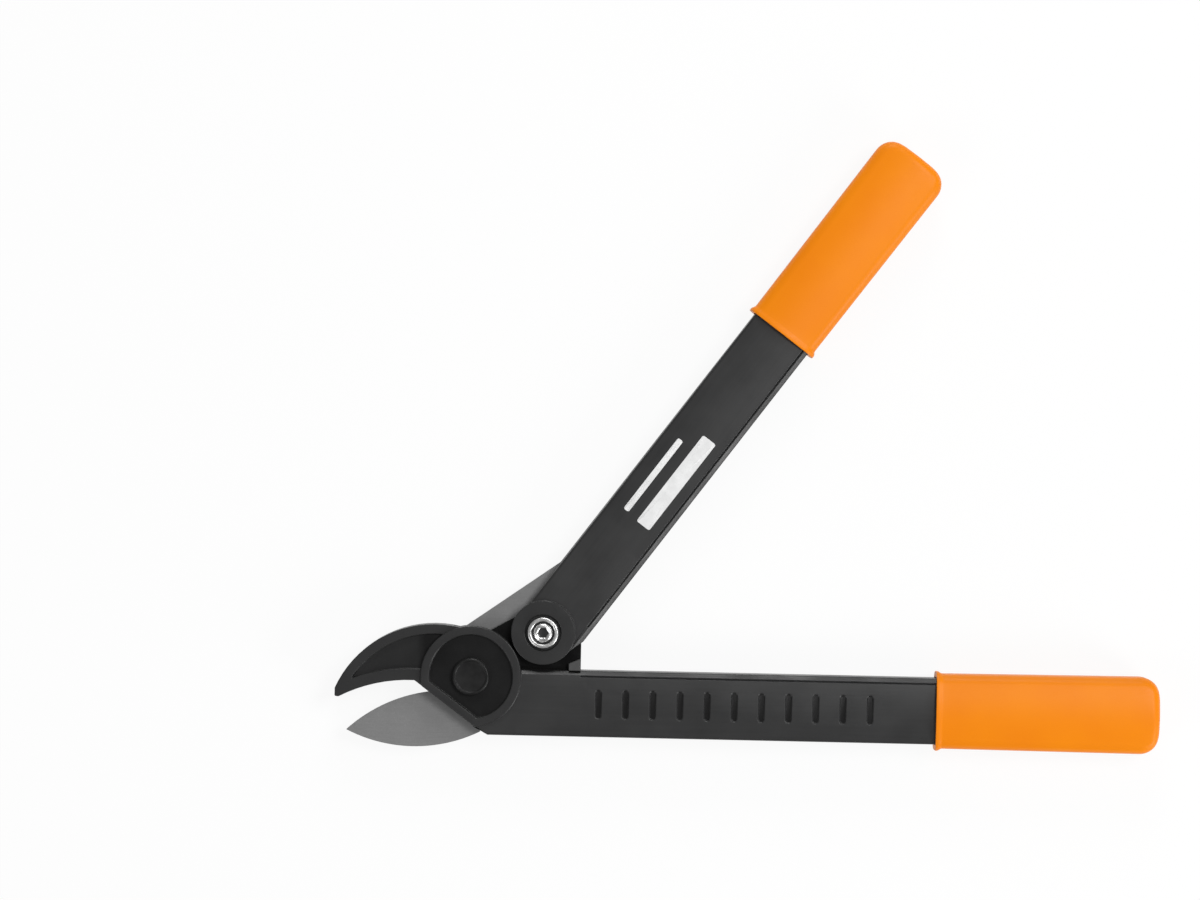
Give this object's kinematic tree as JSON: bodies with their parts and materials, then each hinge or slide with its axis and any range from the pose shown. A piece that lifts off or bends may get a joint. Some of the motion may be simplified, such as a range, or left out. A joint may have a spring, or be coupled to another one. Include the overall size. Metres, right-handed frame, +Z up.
{
  "type": "anvil lopper",
  "caption": "Compound-lever anvil lopper: curved hook jaw with a coated blade, a fixed and a swinging charcoal nylon handle, and orange slip-on grips.",
  "frame": {"origin": "on the main pivot's axis, at the flat end of the nut, in the plane that the tool rests on", "axes": "+X along the fixed handle towards its grip, +Y towards the moving handle's side, +Z up to the front face"},
  "size_m": [0.426, 0.3179, 0.026],
  "materials": {
    "nylon": "fine-grained moulded glass-filled nylon, charcoal",
    "grip": "satin soft orange sleeve",
    "black_steel": "blackened steel",
    "steel": "turned steel",
    "bright_steel": "bright zinc-plated steel",
    "blade_steel": "grey low-friction coating on steel",
    "spacer": "natural acetal",
    "buffer": "grey rubber"
  },
  "bodies": {
    "hook_side": {"hook_handle": "nylon", "lower_grip": "grip", "pivot_bolt": "black_steel", "pivot_bush": "steel", "front_blade_spacer": "spacer", "rear_blade_spacer": "spacer", "pivot_washer": "steel", "pivot_nut": "black_steel", "link_bush": "steel", "front_fork_spacer": "spacer", "rear_fork_spacer": "spacer", "link_screw": "bright_steel", "link_cup_washer": "bright_steel", "link_nut": "bright_steel", "front_stop_buffer": "buffer", "rear_stop_buffer": "buffer"},
    "blade_side": {"blade": "blade_steel"},
    "upper_side": {"upper_handle": "nylon", "drive_pin": "steel", "upper_grip": "grip"}
  },
  "joints": [
    {"name": "handle_swing", "type": "hinge", "parent": "hook_side", "child": "upper_side", "pos_m": [0.03675, 0.02328, 0.013], "axis": [0, 0, 1], "range_deg": [-30, 35]},
    {"name": "blade_swing", "type": "hinge", "parent": "hook_side", "child": "blade_side", "pos_m": [0, 0, 0.013], "axis": [0, 0, 1], "range_deg": [-14.1, 16.45]}
  ],
  "couplings": [
    {"joint": "blade_swing", "follows": "handle_swing", "ratio": 0.47}
  ]
}
